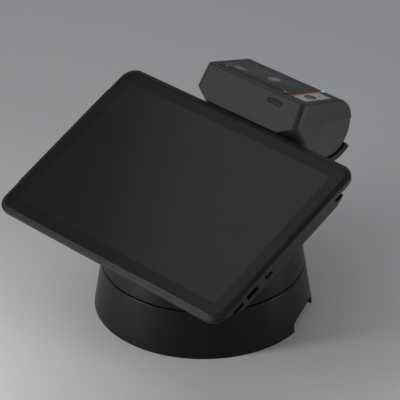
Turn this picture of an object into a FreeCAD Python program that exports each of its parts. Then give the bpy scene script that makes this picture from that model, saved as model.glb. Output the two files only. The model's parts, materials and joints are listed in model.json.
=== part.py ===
import FreeCAD, Part
import math
import os

Vector = FreeCAD.Vector
os.makedirs("parts", exist_ok=True)

# ---------------------------------------------------------------- driving dimensions (mm, degrees)
# +Z up, origin on the counter at the pedestal's axis, operator at -Y, customer at +Y.

# fits and gaps
FIT = 0.05              # radial running clearance of a shaft in its hole
GAP = 0.3               # between a moving piece and its neighbour
SEAT = 0.1              # between pieces that are clipped or screwed together

# pedestal
RIM_R = 86.8            # lower rim radius on the counter
GROOVE_Z = 38.7         # height of the turning groove
GROOVE_R = 80.6         # radius at the turning groove
GROOVE_GAP = 0.9        # height of the dark turning groove
DRUM_WALL = 3.0
DRUM_EDGE_R = 0.8       # rounding of the two drums' rims at the groove
FOOT_HEIGHT = 1.5
FOOT_R = 78.0
BASE_PLATE_T = 4.0
OUTLET_ANGLE = 26.0     # plan angle of the cable outlet, from +X towards +Y
OUTLET_HALF_WIDTH = 22.6
OUTLET_HEIGHT = 11.0
JACK_R = 3.2            # power jack, for a 5.5 mm barrel plug
JACK_Y = 8.0
SPINDLE_R = 14.0
SPINDLE_BORE_R = 9.0
RACE_R = 60.0           # radius of the turning ring
RACE_WIDTH = 8.0
RACE_T = 2.0
TURNTABLE_T = 4.0
NUT_R = 20.0
NUT_T = 5.0
STOP_CIRCLE = RACE_R - 2 * RACE_WIDTH
SWIVEL_STOP_R = 3.0     # radius of the stop pin

# tablet: a 10.1 inch 16:10 display, tilted about the X axis
TILT = 25.2
ACTIVE_W = 216.96
ACTIVE_H = 135.6
CENTRE_Y = -35.12       # centre of the active area, on the glass
CENTRE_Z = 116.55
GLASS_HALF_W = 119.1
GLASS_HALF_H = 78.2
GLASS_R = 8.5
GLASS_T = 1.1
PANEL_T = 2.6
RIM_WIDTH = 3.9         # chamfered frame beyond the glass
RIM_DROP = 1.6
FRAME_DEPTH = 4.2       # depth of the bezel frame from the glass's face
CAMERA_UP = 74.6        # front camera, up the slope from the centre
SHELL_DEPTH = 8.6       # back of the thin shell
SHELL_EDGE = 3.0        # slope round the shell's back edge
SHELL_WALL = 1.6
HOUSING_DEPTH = 12.0    # back of the rear housing's side bars
BAR_LOW = -54.2         # lower end of the side bar, up the slope
BAR_HIGH = 54.0
BAR_END_SLOPE = 9.0
BAR_NOTCH = 1.5         # how far the side bar bites into the frame
SPINE_DEPTH = 17.0      # back of the housing's raised middle
SPINE_HALF_W = 66.0
SPINE_LOW = -46.0
SPINE_HIGH = 66.0

# payment head, its cross-section given from the tablet's top edge
HEAD_AHEAD = 17.3       # top front edge, behind the tablet's top edge
HEAD_ABOVE = 22.0       # and above it
HEAD_HALF_W = 52.4      # half width at the top front edge
HEAD_TAPER = 0.050      # half width lost per mm to the rear
HEAD_DRAFT = 0.069      # half width gained per mm downwards
TOP_SLOPE = 15.5        # the top panel falls to the rear
TOP_DEPTH = 41.0
FRONT_SLOPE = 57.4      # the front face from the horizontal
FRONT_LENGTH = 27.8
CORNER_LENGTH = 18.9    # down the front face, where the ends are cut back
CORNER_CUT = 16.5
CORNER_R = 5.0          # rounding of the upright front corners
HEAD_EDGE_R = 1.2        # rounding of the end outlines and the top rim
SWIPE_DEPTH = 13.0
BARREL_R = 25.0
BARREL_AHEAD = 31.9     # barrel centre behind the top front edge
BARREL_BELOW = 30.9
HEAD_WALL = 2.4
END_STEP = 0.9          # the lower shell's ends are set in by this
CRADLE_GAP = 1.7
CRADLE_T = 4.6
CRADLE_HALF_W = 54.0
LIP_R = BARREL_R + CRADLE_GAP + CRADLE_T
LIP_END = -50.0         # where the cradle's rear lip ends, round the barrel

# printer
COVER_HALF_W = 46.6
SLOT_AT = 5.6           # paper slot behind the top front edge
SLOT_WIDTH = 2.2
HINGE_R = 3.0
PIN_R = 1.25
PLATEN_R = 5.0
SHAFT_R = 1.5
ROLL_R = 18.5
CORE_R = 8.5
CORE_BORE_R = 6.5
GEAR_MODULE = 0.8
PLATEN_TEETH = 14
PINION_TEETH = 18
GEAR_WIDTH = 3.0
PRESSURE_ANGLE = 20.0

# ---------------------------------------------------------------- helpers
DOWN = Vector(0, 0, -1)
ALONG_X = Vector(1, 0, 0)
BIG = 500.0


def save(name, shape):
    shape.exportStep("parts/" + name + ".step")


def box(x0, x1, y0, y1, z0, z1):
    return Part.makeBox(x1 - x0, y1 - y0, z1 - z0, Vector(x0, y0, z0))


def rod(radius, start, end):
    axis = end - start
    return Part.makeCylinder(radius, axis.Length, start, axis)


def tube(outer, inner, start, end):
    reach = (end - start).normalize()
    return rod(outer, start, end).cut(rod(inner, start - reach, end + reach))


def disc(radius, low, high):
    """A cylinder on the pedestal's axis."""
    return rod(radius, Vector(0, 0, low), Vector(0, 0, high))


def washer(outer, inner, low, high):
    """A ring on the pedestal's axis."""
    return tube(outer, inner, Vector(0, 0, low), Vector(0, 0, high))


def turned(shape, degrees):
    """The shape turned about the pedestal's axis."""
    copy = shape.copy()
    copy.rotate(Vector(0, 0, 0), Vector(0, 0, 1), degrees)
    return copy


def half_space(point, normal):
    """A very large block whose flat face passes through point and which lies on the normal's side."""
    block = Part.makeBox(BIG, BIG, BIG, Vector(-BIG / 2, -BIG / 2, 0))
    block.Placement = FreeCAD.Placement(point, FreeCAD.Rotation(Vector(0, 0, 1), normal))
    return block


def round_edges(solid, radius, chosen):
    """Round every edge whose middle point passes the test."""
    edges = []
    for edge in solid.Edges:
        if chosen(edge.valueAt((edge.FirstParameter + edge.LastParameter) / 2)):
            edges.append(edge)
    return solid.makeFillet(radius, edges)


def rounded_wire(half_w, half_h, radius, level, shift=0.0):
    """A rounded rectangle in the XY plane at a level, its centre shifted along Y."""
    x = half_w - radius
    y = half_h - radius
    bend = radius * math.sqrt(0.5)
    edges = []
    for sx, sy, first in ((1, -1, "y"), (1, 1, "x"), (-1, 1, "y"), (-1, -1, "x")):
        centre = Vector(sx * x, shift + sy * y, level)
        out_x = centre + Vector(sx * radius, 0, 0)
        out_y = centre + Vector(0, sy * radius, 0)
        middle = centre + Vector(sx * bend, sy * bend, 0)
        ends = (out_y, out_x) if first == "y" else (out_x, out_y)
        edges.append(Part.Arc(ends[0], middle, ends[1]).toShape())
    for index in range(4):
        start = edges[index].Vertexes[-1].Point
        end = edges[(index + 1) % 4].Vertexes[0].Point
        edges.append(Part.makeLine(start, end))
    return Part.Wire(Part.__sortEdges__(edges))


def slab(half_w, half_h, radius, low, high, shift=0.0):
    face = Part.Face(rounded_wire(half_w, half_h, radius, low, shift))
    return face.extrude(Vector(0, 0, high - low))


def tapered_slab(bottom, top):
    """A solid between two rounded rectangles, each given as half_w, half_h, radius, level."""
    return Part.makeLoft([rounded_wire(*bottom), rounded_wire(*top)], True, True)


def section(points, x0, x1):
    """Extrude a closed outline of (y, z) points along X."""
    corners = [Vector(x0, y, z) for y, z in points]
    return Part.Face(Part.makePolygon(corners + corners[:1])).extrude(Vector(x1 - x0, 0, 0))


def profile(points, x0, x1):
    """Extrude the outline through some points along X, using their Y and Z."""
    return section([(p.y, p.z) for p in points], x0, x1)


def on_tablet(shape):
    """Move a shape from the tablet's own axes (X, up the slope, out of the glass) into place."""
    placed = shape.copy()
    placed.rotate(Vector(0, 0, 0), ALONG_X, TILT)
    placed.translate(Vector(0, CENTRE_Y, CENTRE_Z))
    return placed


def tablet_point(x, up, out):
    turn = math.radians(TILT)
    y = CENTRE_Y + up * math.cos(turn) - out * math.sin(turn)
    z = CENTRE_Z + up * math.sin(turn) + out * math.cos(turn)
    return Vector(x, y, z)


def tablet_direction(x, up, out):
    return tablet_point(x, up, out) - tablet_point(0, 0, 0)

# ---------------------------------------------------------------- pedestal
TAPER = (RIM_R - GROOVE_R) / GROOVE_Z
GLASS_UP = tablet_direction(0, 0, 1)


def drum_radius(z):
    return RIM_R - TAPER * z


def drum(low, high, inset=0.0):
    return Part.makeCone(drum_radius(low) - inset, drum_radius(high) - inset, high - low, Vector(0, 0, low))


BASE_TOP = GROOVE_Z - GROOVE_GAP / 2
DRUM_LOW = GROOVE_Z + GROOVE_GAP / 2
DECK_TOP = BASE_TOP - 1.0
DECK_LOW = DECK_TOP - 3.0
RACE_LOW = DECK_TOP
TURNTABLE_LOW = RACE_LOW + RACE_T + SEAT
TURNTABLE_TOP = TURNTABLE_LOW + TURNTABLE_T
SPINDLE_TOP = TURNTABLE_TOP + GAP + NUT_T + 1.5


def outlet_cut():
    """The arch-shaped cable outlet, cut straight in through the rim at its plan angle."""
    arch_z = OUTLET_HEIGHT * 0.4
    low = box(40, 110, -OUTLET_HALF_WIDTH, OUTLET_HALF_WIDTH, -5, arch_z)
    crown = rod(1.0, Vector(40, 0, arch_z), Vector(110, 0, arch_z))
    stretch = FreeCAD.Matrix()
    stretch.A22 = OUTLET_HALF_WIDTH
    stretch.A33 = OUTLET_HEIGHT - arch_z
    stretch.A34 = arch_z * (1 - stretch.A33)
    return turned(low.fuse(crown.transformGeometry(stretch)), OUTLET_ANGLE)


SCREW_R = 1.5
SCREW_CIRCLE = 66.0
TABLE_SCREW_CIRCLE = 70.0
PLATE_LOW = FOOT_HEIGHT
PLATE_TOP = PLATE_LOW + BASE_PLATE_T


def ring_points(radius, count, z, first=0.0):
    turns = [math.radians(first + 360.0 * step / count) for step in range(count)]
    return [Vector(radius * math.cos(turn), radius * math.sin(turn), z) for turn in turns]


def make_base():
    shell = round_edges(drum(0, BASE_TOP), DRUM_EDGE_R, lambda p: p.z > BASE_TOP - 0.1)
    shell = shell.cut(drum(-1, DECK_LOW, DRUM_WALL))
    inner = drum(DECK_TOP, BASE_TOP + 1, DRUM_WALL)
    shell = shell.cut(inner).cut(disc(SPINDLE_R + SEAT, DECK_LOW - 1, BASE_TOP + 1))
    plate_r = drum_radius(PLATE_TOP) - DRUM_WALL - GAP
    posts = []
    for at in ring_points(SCREW_CIRCLE, 4, PLATE_TOP, 80.0):
        top = Vector(at.x, at.y, DECK_LOW)
        posts.append(rod(4.0, at, top).cut(rod(SCREW_R, at, at + Vector(0, 0, 10))))
    shell = shell.fuse(posts).cut(outlet_cut())
    save("base_shell", shell)

    plate = disc(plate_r, PLATE_LOW, PLATE_TOP).cut(outlet_cut())
    screws = []
    for at in ring_points(SCREW_CIRCLE, 4, PLATE_LOW, 80.0):
        shank = rod(SCREW_R - SEAT, at, at + Vector(0, 0, BASE_PLATE_T + 8))
        head = rod(3.0, at, at + Vector(0, 0, 2.0))
        plate = plate.cut(rod(SCREW_R, at + DOWN, at + Vector(0, 0, 9)))
        plate = plate.cut(rod(3.0 + SEAT, at + DOWN, at + Vector(0, 0, 2.0)))
        screws.append(shank.fuse(head))
    save("base_weight_plate", plate)
    save("base_screws", Part.Compound(screws))

    save("rubber_foot", disc(FOOT_R, 0, FOOT_HEIGHT).cut(outlet_cut()))

    spindle = disc(SPINDLE_R, PLATE_TOP, DECK_TOP).fuse(disc(SPINDLE_R - 2, DECK_TOP, SPINDLE_TOP))
    spindle = spindle.cut(disc(SPINDLE_BORE_R, PLATE_TOP + 3, SPINDLE_TOP + 1))
    window = box(0, 40, -6, 6, PLATE_TOP + 5, DECK_LOW - 3)
    save("swivel_spindle", spindle.cut(turned(window, OUTLET_ANGLE)))
    save("turning_ring", washer(RACE_R, RACE_R - RACE_WIDTH, RACE_LOW, RACE_LOW + RACE_T))
    stop = Vector(0, STOP_CIRCLE, DECK_TOP)
    save("swivel_stop_pin", rod(SWIVEL_STOP_R, stop, Vector(0, STOP_CIRCLE, TURNTABLE_LOW + TURNTABLE_T / 2)))

    board = box(28, 56, -18, 18, PLATE_TOP + 4, PLATE_TOP + 5.6)
    legs = []
    for x in (31, 53):
        for y in (-15, 15):
            legs.append(rod(2.0, Vector(x, y, PLATE_TOP), Vector(x, y, PLATE_TOP + 4)))
    save("hub_board", turned(board.fuse(legs), OUTLET_ANGLE))
    low = PLATE_TOP + 5.6
    network = box(42, 56, -16, -1, low, low + 13).cut(box(44, 57, -14.5, -2.5, low + 1.5, low + 10))
    save("network_socket", turned(network, OUTLET_ANGLE))
    jack = rod(JACK_R, Vector(46, JACK_Y, low + 5), Vector(57, JACK_Y, low + 5))
    supply = box(44, 56, JACK_Y - 5, JACK_Y + 5, low, low + 9).cut(jack)
    save("power_socket", turned(supply, OUTLET_ANGLE))


HATCH_FROM = 14.0
HATCH_TO = 62.0
HATCH_LOW = DRUM_LOW + 1.2
HATCH_HIGH = DRUM_LOW + 9.6
DOCK_T = 4.0
DOCK_HALF_W = 40.0
DOCK_HALF_H = 34.0
DOCK_SHIFT = 10.0       # dock plate's centre up the slope
DOCK_TOP = -SPINE_DEPTH
DRUM_TOP = 112.5        # flat top behind the slope, under the head's cradle


def hatch_sector(spread):
    """A wedge about the drum's axis over the hatch's plan angles, spread by some degrees."""
    angle = HATCH_TO - HATCH_FROM + 2 * spread
    wedge = Part.makeCylinder(120, 40, Vector(0, 0, HATCH_LOW - 5), Vector(0, 0, 1), angle)
    return turned(wedge, HATCH_FROM - spread)


def hatch_block(grow):
    """The part of the drum's wall that the hatch fills, between two plan angles."""
    low = HATCH_LOW - grow
    high = HATCH_HIGH + grow
    wall = drum(low, high).cut(drum(low - 1, high + 1, DRUM_WALL))
    return wall.common(hatch_sector(grow / 1.4))


def make_stand():
    under = tablet_point(0, 0, DOCK_TOP - DOCK_T)
    above = half_space(under, GLASS_UP)
    outer = round_edges(drum(DRUM_LOW, DRUM_TOP).cut(above), DRUM_EDGE_R, lambda p: p.z < DRUM_LOW + 0.1)
    lid_low = half_space(under - GLASS_UP * DRUM_WALL, GLASS_UP)
    inner = drum(DRUM_LOW - 1, DRUM_TOP - DRUM_WALL, DRUM_WALL).cut(lid_low)
    shell = outer.cut(inner)
    shell = shell.cut(on_tablet(slab(DOCK_HALF_W - 12, DOCK_HALF_H - 12, 5, -40, 0, DOCK_SHIFT)))
    low = TURNTABLE_TOP
    ledge = washer(drum_radius(low) - DRUM_WALL / 2, RACE_R, low, low + 3)
    ledge = ledge.common(drum(DRUM_LOW, 60, DRUM_WALL / 2))
    recess = washer(120, 71.8, low - 1, low + 4)
    ledge = ledge.cut(recess.common(hatch_sector(6)))
    shell = shell.fuse(ledge).cut(hatch_block(GAP / 2))
    table = disc(drum_radius(TURNTABLE_TOP) - DRUM_WALL - GAP, TURNTABLE_LOW, TURNTABLE_TOP)
    table = table.cut(disc(SPINDLE_R - 2 + FIT, TURNTABLE_LOW - 1, TURNTABLE_TOP + 1))
    half_track = SWIVEL_STOP_R + GAP
    track = washer(STOP_CIRCLE + half_track, STOP_CIRCLE - half_track,
                   TURNTABLE_LOW - 1, TURNTABLE_LOW + TURNTABLE_T / 2 + GAP)
    bridge = Part.makeCylinder(STOP_CIRCLE + 10, 20, Vector(0, 0, TURNTABLE_LOW - 5), Vector(0, 0, 1), 8.0)
    track = track.cut(turned(bridge, 266.0))
    screws = []
    for at in ring_points(TABLE_SCREW_CIRCLE, 6, TURNTABLE_LOW):
        up = Vector(0, 0, TURNTABLE_T + 2.5)
        hole = rod(SCREW_R, at + DOWN, at + up)
        table = table.cut(hole)
        shell = shell.cut(hole)
        screws.append(rod(SCREW_R - SEAT, at + Vector(0, 0, 0.3), at + up - Vector(0, 0, 0.2)))
    save("drum_shell", shell)
    save("port_hatch", hatch_block(0).fuse(hatch_tab()))
    save("turntable", table.cut(track))
    save("turntable_screws", Part.Compound(screws))
    low = TURNTABLE_TOP + SEAT
    save("retaining_nut", washer(NUT_R, SPINDLE_R - 2 + FIT, low, low + NUT_T))

    dock = slab(DOCK_HALF_W, DOCK_HALF_H, 6, DOCK_TOP - DOCK_T, DOCK_TOP, DOCK_SHIFT)
    dock = dock.cut(slab(14, 8, 3, DOCK_TOP - DOCK_T - 1, DOCK_TOP + 1, DOCK_SHIFT))
    dock_screws = []
    for x in (-DOCK_HALF_W + 6, DOCK_HALF_W - 6):
        for y in (-DOCK_HALF_H + 6, DOCK_HALF_H - 6):
            at = Vector(x, y + DOCK_SHIFT, DOCK_TOP - DOCK_T - 2)
            dock = dock.cut(rod(SCREW_R, at - Vector(0, 0, 3), at + Vector(0, 0, 9)))
            dock_screws.append(on_tablet(rod(SCREW_R - SEAT, at + Vector(0, 0, 2), at + Vector(0, 0, 9))))
    save("dock_plate", on_tablet(dock))
    save("dock_screws", Part.Compound(dock_screws))
    contact = slab(13.5, 7.5, 2.5, DOCK_TOP - DOCK_T, DOCK_TOP, DOCK_SHIFT)
    save("dock_connector", on_tablet(contact))


def hatch_tab():
    """A clip tongue behind the hatch that hooks behind the drum's wall."""
    low = TURNTABLE_TOP + 0.6
    ring = drum(low, HATCH_HIGH - 1, DRUM_WALL).cut(drum(low - 1, HATCH_HIGH, DRUM_WALL + 1.2))
    return ring.common(hatch_sector(2))


# ---------------------------------------------------------------- tablet, in its own axes
OUT_W = GLASS_HALF_W + RIM_WIDTH
OUT_H = GLASS_HALF_H + RIM_WIDTH
OUT_R = GLASS_R + RIM_WIDTH
NOTCH_X = OUT_W - BAR_NOTCH


PORT_OUT = -6.7         # middle of the ports, below the glass
USB_A = (-43.6, 6.3, 2.3)           # place up the slope, half length, half height
USB_C = (-24.7, 4.2, 1.4)
CARD_OUT = -5.6         # middle of the chip card slot
CARD_HALF = 28.0
KEYS = (("power_button", 44.0, 4.0), ("volume_key", 33.0, 5.0))
KEY_OUT = -5.7
KEY_HALF = 1.2
KEY_PROUD = 0.4
PORT_FLOOR = 112.0


def side_notch(clear):
    """What the side bars take out of the tablet's two long ends."""
    high = -RIM_DROP + 0.4
    pieces = []
    for side in (-1, 1):
        x0, x1 = sorted((side * (NOTCH_X - clear), side * (OUT_W + 5)))
        pieces.append(box(x0, x1, BAR_LOW - clear, BAR_HIGH + clear, -SHELL_DEPTH - 5, high + 5))
    return pieces[0].fuse(pieces[1])


def make_tablet():
    glass = slab(GLASS_HALF_W - SEAT, GLASS_HALF_H - SEAT, GLASS_R, -GLASS_T, 0)
    save("front_glass", on_tablet(glass))

    frame = tapered_slab((OUT_W, OUT_H, OUT_R, -RIM_DROP), (GLASS_HALF_W, GLASS_HALF_H, GLASS_R, 0))
    frame = frame.fuse(slab(OUT_W, OUT_H, OUT_R, -FRAME_DEPTH, -RIM_DROP))
    frame = round_edges(frame, 0.7, lambda p: abs(p.z + RIM_DROP) < 0.01)
    frame = frame.cut(slab(GLASS_HALF_W, GLASS_HALF_H, GLASS_R, -GLASS_T - SEAT, 1))
    frame = frame.cut(slab(ACTIVE_W / 2 + 4, ACTIVE_H / 2 + 4, 2, -FRAME_DEPTH - 1, 0))
    frame = frame.cut(rod(3.2, Vector(0, CAMERA_UP, -FRAME_DEPTH - 1), Vector(0, CAMERA_UP, 0)))
    frame = frame.cut(side_notch(GAP))
    save("bezel_frame", on_tablet(frame))

    panel_top = -GLASS_T
    panel = slab(ACTIVE_W / 2 + 2, ACTIVE_H / 2 + 2, 1.5, panel_top - PANEL_T, panel_top)
    save("display_panel", on_tablet(panel))
    lens = rod(2.8, Vector(0, CAMERA_UP, -FRAME_DEPTH - 0.6), Vector(0, CAMERA_UP, -GLASS_T))
    save("front_camera", on_tablet(lens))

    low = -SHELL_DEPTH
    wall = OUT_W - 0.3, OUT_H - 0.3, OUT_R - 0.3
    shell = tapered_slab((OUT_W - SHELL_EDGE, OUT_H - SHELL_EDGE, OUT_R - SHELL_EDGE, low),
                         (*wall, low + SHELL_EDGE))
    shell = shell.fuse(slab(*wall, low + SHELL_EDGE, -FRAME_DEPTH))
    inset = SHELL_EDGE + 1.2
    hollow = slab(OUT_W - inset, OUT_H - inset, OUT_R - SHELL_EDGE - 1, low + SHELL_WALL, 0)
    shell = shell.cut(hollow).cut(side_notch(GAP))
    for x in (-60, 60):
        shell = shell.fuse(box(x - 2, x + 2, -60, 60, low + SHELL_WALL, -GLASS_T - PANEL_T - SEAT))
    camera_seat = Vector(0, CAMERA_UP, -FRAME_DEPTH - 0.6)
    shell = shell.fuse(rod(3.4, Vector(0, CAMERA_UP, low + SHELL_WALL), camera_seat))
    shell = shell.cut(strap_slot()).cut(side_windows())
    save("back_shell", on_tablet(shell))

    inner_low = low + SHELL_WALL
    battery = slab(50, 38, 3, inner_low, inner_low + 3.0, -12)
    save("battery_pack", on_tablet(battery))
    board = box(66, 108, -50, 60, inner_low, inner_low + 1.2)
    chips = [box(78, 92, y, y + 14, inner_low + 1.2, inner_low + 2.4) for y in (-36, -10, 16)]
    save("main_board", on_tablet(board.fuse(chips)))
    speakers = []
    for x in (-95, -75):
        speakers.append(on_tablet(slab(8, 13, 3, inner_low, inner_low + 3.0, -45).translate(Vector(x, 0, 0))))
    save("loudspeakers", Part.Compound(speakers))


def strap_slot():
    """A strap hole that enters one side of the right lower corner and leaves the other."""
    z0, z1 = -SHELL_DEPTH + SHELL_EDGE, -FRAME_DEPTH - 0.6
    corner_x, corner_y = OUT_W - OUT_R, -OUT_H + OUT_R
    loop = Part.makeCylinder(OUT_R + 1, z1 - z0, Vector(corner_x, corner_y, z0))
    loop = loop.cut(Part.makeCylinder(OUT_R - 2.6, z1 - z0, Vector(corner_x, corner_y, z0)))
    mouths = []
    for turn in (-68, -18):
        mouth = turned(box(0, 30, -2.0, 2.0, z0, z1), turn)
        mouth.translate(Vector(corner_x, corner_y, 0))
        mouths.append(mouth)
    return loop.common(mouths[0].fuse(mouths[1]))


# ---------------------------------------------------------------- payment head: section and regions
TOP_EDGE = tablet_point(0, OUT_H, 0)
TOP_Y = TOP_EDGE.y + HEAD_AHEAD
TOP_Z = TOP_EDGE.z + HEAD_ABOVE
FALL = math.radians(TOP_SLOPE)
FRONT = math.radians(FRONT_SLOPE)
TOP_CORNER = Vector(0, TOP_Y, TOP_Z)
REARWARD = Vector(0, math.cos(FALL), -math.sin(FALL))
TOP_OUT = Vector(0, math.sin(FALL), math.cos(FALL))
FRONT_DOWN = Vector(0, -math.cos(FRONT), -math.sin(FRONT))
FRONT_OUT = Vector(0, -math.sin(FRONT), math.cos(FRONT))
GROOVE_DOWN = tablet_direction(0, 0, -1)
LOWER_EDGE = TOP_CORNER + FRONT_DOWN * FRONT_LENGTH
GROOVE_FOOT = LOWER_EDGE + GROOVE_DOWN * SWIPE_DEPTH
BARREL = Vector(0, TOP_Y + BARREL_AHEAD, TOP_Z - BARREL_BELOW)
SHOULDER_R = 23.3
SHOULDER_TURN = 44.0
REAR_TURN = 5.0
UNDER_TURN = -134.0
SPLIT_FRONT = Vector(0, TOP_Y + 0.2, TOP_Z - 35.2)
SPLIT_CORNER = Vector(0, TOP_Y + 24.7, TOP_Z - 24.4)
SPLIT_FALL = 14.5       # the parting line falls to the rear from its corner
PRINT_X = -8.0          # centre of the paper path


def head_point(x, along, depth):
    """A point given from the top front edge: along the top panel to the rear, and down into the head."""
    return Vector(x, 0, 0) + TOP_CORNER + REARWARD * along - TOP_OUT * depth


def round_barrel(radius, degrees):
    turn = math.radians(degrees)
    return BARREL + Vector(0, radius * math.cos(turn), radius * math.sin(turn))


def head_block(near, far, top, bottom, x0, x1):
    """A block square to the top panel: from near to far along it, and from top to bottom in depth."""
    corners = [head_point(0, near, top), head_point(0, far, top), head_point(0, far, bottom),
               head_point(0, near, bottom)]
    return profile(corners, x0, x1)


def head_face(grow):
    """The head's cross-section in the YZ plane, grown or shrunk all round."""
    top_end = head_point(0, TOP_DEPTH, 0)
    rear = round_barrel(BARREL_R, REAR_TURN)
    under = round_barrel(BARREL_R, UNDER_TURN)
    edges = [
        Part.makeLine(TOP_CORNER, top_end),
        Part.Arc(top_end, round_barrel(SHOULDER_R, SHOULDER_TURN), rear).toShape(),
        Part.Arc(rear, round_barrel(BARREL_R, -60), under).toShape(),
        Part.makeLine(under, GROOVE_FOOT),
        Part.makeLine(GROOVE_FOOT, LOWER_EDGE),
        Part.makeLine(LOWER_EDGE, TOP_CORNER),
    ]
    face = Part.Face(Part.Wire(edges))
    return face.makeOffset2D(grow) if grow else face


def along_x(face, x0, x1):
    moved = face.copy()
    moved.translate(Vector(x0, 0, 0))
    return moved.extrude(Vector(x1 - x0, 0, 0))


def between_ends(grow):
    """Everything between the head's two slanting end planes."""
    wires = []
    for y in (TOP_Y - 60, TOP_Y + 110):
        corners = []
        for side, z in ((-1, TOP_Z - 120), (1, TOP_Z - 120), (1, TOP_Z + 60), (-1, TOP_Z + 60)):
            half = HEAD_HALF_W - HEAD_TAPER * (y - TOP_Y) - HEAD_DRAFT * (z - TOP_Z) + grow
            corners.append(Vector(side * half, y, z))
        wires.append(Part.makePolygon(corners + corners[:1]))
    return Part.makeLoft(wires, True, True)


def corner_cuts(inset=0.0):
    """What lies outside the flared faces at both ends that lead a card into the swipe groove."""
    cuts = []
    for side in (-1, 1):
        inner = LOWER_EDGE + Vector(side * (HEAD_HALF_W + 1.5 - CORNER_CUT), 0, 0)
        outer = TOP_CORNER + FRONT_DOWN * CORNER_LENGTH + Vector(side * (HEAD_HALF_W + 1.5), 0, 0)
        foot = SPLIT_FRONT + Vector(side * (HEAD_HALF_W + 2.4), 0, 0)
        normal = (outer - inner).cross(foot - inner) * side
        if normal.z > 0:
            normal = normal * -1
        cuts.append(half_space(inner - normal.normalize() * inset, normal))
    return cuts


def head_solid(grow):
    """The whole head, its front corners well rounded and its end outlines and top rim eased."""
    solid = along_x(head_face(0), -80, 80).common(between_ends(grow)).cut(corner_cuts())
    solid = round_edges(solid, CORNER_R, lambda p: abs(p.x) > HEAD_HALF_W - 2.4 and p.y < TOP_Y)

    def on_rim(point):
        on_end = abs(point.x) > HEAD_HALF_W - 1.9 + grow and point.y > TOP_Y
        on_top = abs((point - TOP_CORNER).dot(TOP_OUT)) < 0.3 and point.y < TOP_Y + 40
        return on_end or on_top

    return round_edges(solid, HEAD_EDGE_R, on_rim)


def below_split(gap):
    """The region of the lower shell, under the parting line."""
    front, corner = SPLIT_FRONT, SPLIT_CORNER
    rear_y = front.y + 90
    rear_z = corner.z - (rear_y - corner.y) * math.tan(math.radians(SPLIT_FALL))
    points = [(front.y + gap, front.z - 80), (front.y + gap, front.z - gap), (corner.y, corner.z - gap),
              (rear_y, rear_z - gap), (rear_y, front.z - 80)]
    return section(points, -90, 90)


HINGE = Vector(0, BARREL.y + BARREL_R - HINGE_R - 0.2, BARREL.z - 0.6)
COVER_LEFT = -COVER_HALF_W
COVER_AT = SLOT_AT + SLOT_WIDTH
WINDOW_T = 0.8
WINDOW_END = 40.0
STRIPE_X = 31.2
STRIPE_W = 1.8
PLATEN_BELOW = 9.2      # platen axis under the top panel
PLATEN = head_point(0, COVER_AT - 0.1 + PLATEN_R, PLATEN_BELOW)
ROLL_CENTRE = BARREL - Vector(0, 0, BARREL_R - HEAD_WALL - ROLL_R - GAP)
BUTTON_X = 25.3
BUTTON_DOWN = 6.8
BUTTON_HALF_W = 7.6
BUTTON_HALF_H = 1.8
SCANNER_X = 39.3
SCANNER_AT = 22.4       # scanner and sensor, back from the top front edge
SENSOR_AT = 33.0
LED_X = 31.5
ROLL_LOW = PRINT_X - 28.75
ROLL_HIGH = PRINT_X + 28.75
PLATEN_LOW = PRINT_X - 29.5
PLATEN_HIGH = PRINT_X + 29.5
EAR_T = 1.8
EAR_X = (PLATEN_LOW - 0.4 - EAR_T, PLATEN_HIGH + 0.4)


def cover_region(grow):
    """The block of the head that swings with the paper cover."""
    start = head_point(0, COVER_AT - grow, 0)
    floor = HINGE.z - grow
    points = [(start.y, start.z + 30), (start.y, start.z), (PLATEN.y + 10, BARREL.z + 4),
              (HINGE.y - 4, floor), (HINGE.y + 30, floor), (HINGE.y + 30, start.z + 30)]
    return section(points, COVER_LEFT - grow, COVER_HALF_W + grow)


def on_front(x, down, deep, half_w, half_h, thick):
    """A round-ended block set into the front face, its axis along the face's normal."""
    block = slab(half_w, half_h, half_h * 0.95, -deep - thick, -deep)
    turned = FreeCAD.Rotation(ALONG_X, FRONT_DOWN * -1, FRONT_OUT, "ZXY")
    block.Placement = FreeCAD.Placement(Vector(x, 0, 0) + TOP_CORNER + FRONT_DOWN * down, turned)
    return block


def knuckles(fixed):
    """Alternate knuckles of the cover's hinge; the fixed ones belong to the lower shell."""
    count = 7
    pitch = 2 * COVER_HALF_W / count
    pieces = []
    for index in range(count):
        if (index % 2 == 0) == fixed:
            low = -COVER_HALF_W + index * pitch + GAP / 2
            high = low + pitch - GAP
            body = rod(HINGE_R, HINGE + Vector(low, 0, 0), HINGE + Vector(high, 0, 0))
            reach = 5.5
            if fixed:
                web = box(low, high, HINGE.y - 0.4, HINGE.y + 1.7, HINGE.z - reach, HINGE.z)
            else:
                web = box(low, high, HINGE.y - 1.8, HINGE.y + 2.6, HINGE.z, HINGE.z + reach)
            pieces.append(body.fuse(web.common(along_x(head_face(0), low, high))))
    return pieces


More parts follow.
